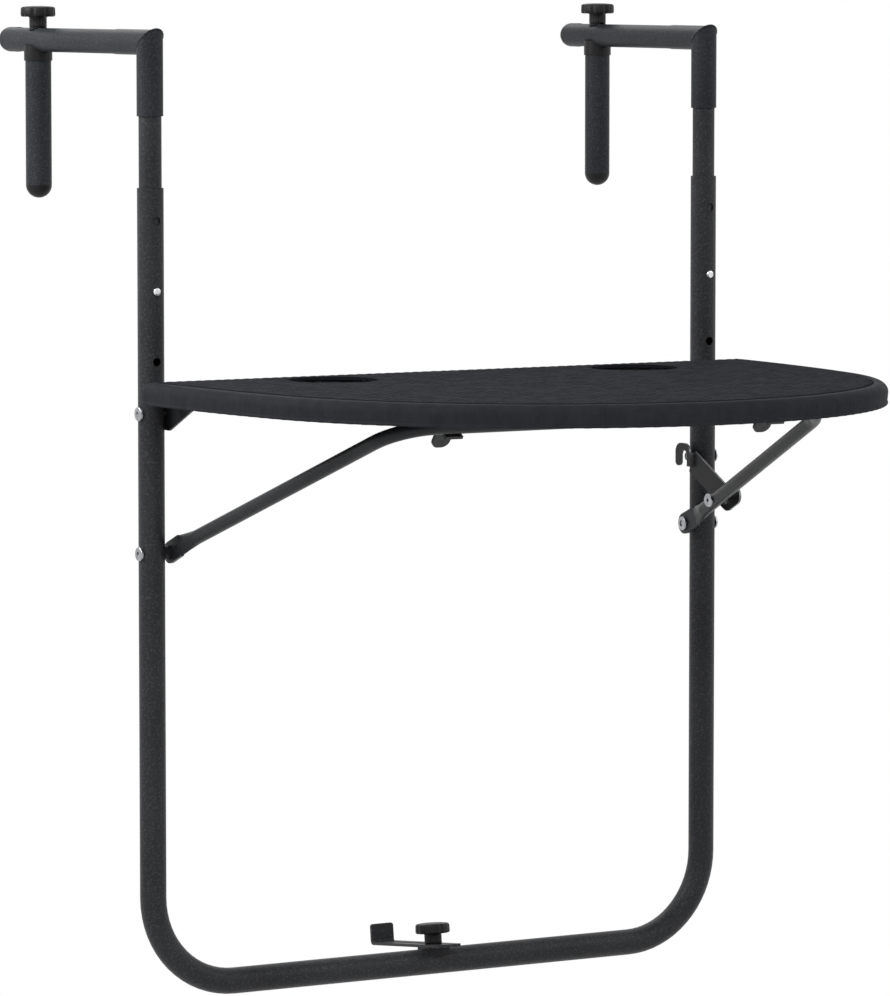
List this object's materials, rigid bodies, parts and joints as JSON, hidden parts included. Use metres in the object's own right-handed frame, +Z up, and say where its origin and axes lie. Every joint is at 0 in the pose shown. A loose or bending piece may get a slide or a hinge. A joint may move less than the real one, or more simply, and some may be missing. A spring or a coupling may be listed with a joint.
{
  "type": "balcony railing bar table",
  "caption": "Folding bar table that hangs on a balcony railing by clamping hooks, with a rounded rattan-look top, folding brace, latch and adjustable bottom spacer.",
  "frame": {"origin": "midway between the two hooks, in the plane of the upright axes, at the height of the arms' undersides, which rest on the railing", "axes": "+X to the right for a person sitting at the table, -Y towards that person, +Y over the railing, +Z up"},
  "size_m": [0.597, 0.6983, 0.8246],
  "materials": {
    "powder_steel": "fine textured powder coat",
    "zinc": "zinc plated",
    "black_plastic": "matte",
    "woven_plastic": "moulded rattan weave"
  },
  "bodies": {
    "frame": {"u_frame": "powder_steel", "table_hinge_bolts": "zinc", "table_hinge_nuts": "zinc", "brace_bolts": "zinc", "brace_nuts": "zinc", "brace_spacers": "black_plastic", "latch_pin": "zinc", "spacer_saddle": "black_plastic", "spacer_rivet_nut": "zinc"},
    "table": {"table_top": "woven_plastic", "left_hinge_bracket": "powder_steel", "right_hinge_bracket": "powder_steel", "left_catch": "powder_steel", "right_catch": "powder_steel", "bracket_screws": "zinc", "catch_screws": "zinc"},
    "brace": {"brace": "powder_steel", "latch_rivet": "zinc", "latch_washer": "zinc"},
    "latch": {"latch_plate": "powder_steel"},
    "spacer": {"spacer_strip": "powder_steel"},
    "spacer_clamp": {"spacer_knob": "black_plastic", "spacer_screw": "zinc"},
    "left_hook": {"left_hook_arm": "powder_steel", "left_inner_tube": "powder_steel", "left_arm_end_cap": "black_plastic", "left_snap_spring": "zinc"},
    "left_button": {"left_snap_button": "zinc"},
    "left_jaw": {"left_jaw_tube": "powder_steel", "left_jaw_saddle": "black_plastic", "left_jaw_nut": "zinc", "left_jaw_end_cap": "black_plastic"},
    "left_clamp": {"left_clamp_knob": "black_plastic", "left_clamp_screw": "zinc"},
    "right_hook": {"right_hook_arm": "powder_steel", "right_inner_tube": "powder_steel", "right_arm_end_cap": "black_plastic", "right_snap_spring": "zinc"},
    "right_button": {"right_snap_button": "zinc"},
    "right_jaw": {"right_jaw_tube": "powder_steel", "right_jaw_saddle": "black_plastic", "right_jaw_nut": "zinc", "right_jaw_end_cap": "black_plastic"},
    "right_clamp": {"right_clamp_knob": "black_plastic", "right_clamp_screw": "zinc"}
  },
  "joints": [
    {"name": "table_fold", "type": "hinge", "parent": "frame", "child": "table", "pos_m": [0, 0, -0.295], "axis": [1, 0, 0], "range_deg": [0, 86]},
    {"name": "brace_fold", "type": "hinge", "parent": "frame", "child": "brace", "pos_m": [0, 0, -0.411], "axis": [1, 0, 0], "range_deg": [0, 108]},
    {"name": "latch_swing", "type": "hinge", "parent": "brace", "child": "latch", "pos_m": [0.2563, -0.062, -0.38534], "axis": [1, 0, 0], "range_deg": [0, 154]},
    {"name": "spacer_slide", "type": "slide", "parent": "frame", "child": "spacer", "axis": [0, 0.9936, -0.1132], "range_m": [-0.066, 0.006]},
    {"name": "spacer_knob_turn", "type": "hinge", "parent": "frame", "child": "spacer_clamp", "pos_m": [0, 0, -0.7745], "axis": [0, 0.1132, 0.9936], "continuous": true},
    {"name": "left_hook_height", "type": "slide", "parent": "frame", "child": "left_hook", "axis": [0, 0, 1], "range_m": [-0.058, 0.058], "deforming": ["left_snap_spring", "left_snap_button"]},
    {"name": "left_button_press", "type": "slide", "parent": "left_hook", "child": "left_button", "axis": [0, 1, 0], "range_m": [0, 0.004], "stiffness_N_per_m": 2500, "deforming": ["left_snap_spring"]},
    {"name": "left_jaw_slide", "type": "slide", "parent": "left_hook", "child": "left_jaw", "axis": [-0.0427, 0.9991, 0], "range_m": [-0.13, 0.03]},
    {"name": "left_knob_turn", "type": "hinge", "parent": "left_jaw", "child": "left_clamp", "pos_m": [-0.27991, 0.18483, 0], "axis": [0, 0, 1], "continuous": true},
    {"name": "right_hook_height", "type": "slide", "parent": "frame", "child": "right_hook", "axis": [0, 0, 1], "range_m": [-0.058, 0.058], "deforming": ["right_snap_spring", "right_snap_button"]},
    {"name": "right_button_press", "type": "slide", "parent": "right_hook", "child": "right_button", "axis": [0, 1, 0], "range_m": [0, 0.004], "stiffness_N_per_m": 2500, "deforming": ["right_snap_spring"]},
    {"name": "right_jaw_slide", "type": "slide", "parent": "right_hook", "child": "right_jaw", "axis": [0.0427, 0.9991, 0], "range_m": [-0.13, 0.03]},
    {"name": "right_knob_turn", "type": "hinge", "parent": "right_jaw", "child": "right_clamp", "pos_m": [0.27991, 0.18483, 0], "axis": [0, 0, 1], "continuous": true}
  ],
  "couplings": [
    {"joint": "brace_fold", "follows": "table_fold", "ratio": 1.2498},
    {"joint": "latch_swing", "follows": "table_fold", "ratio": 1.78}
  ]
}
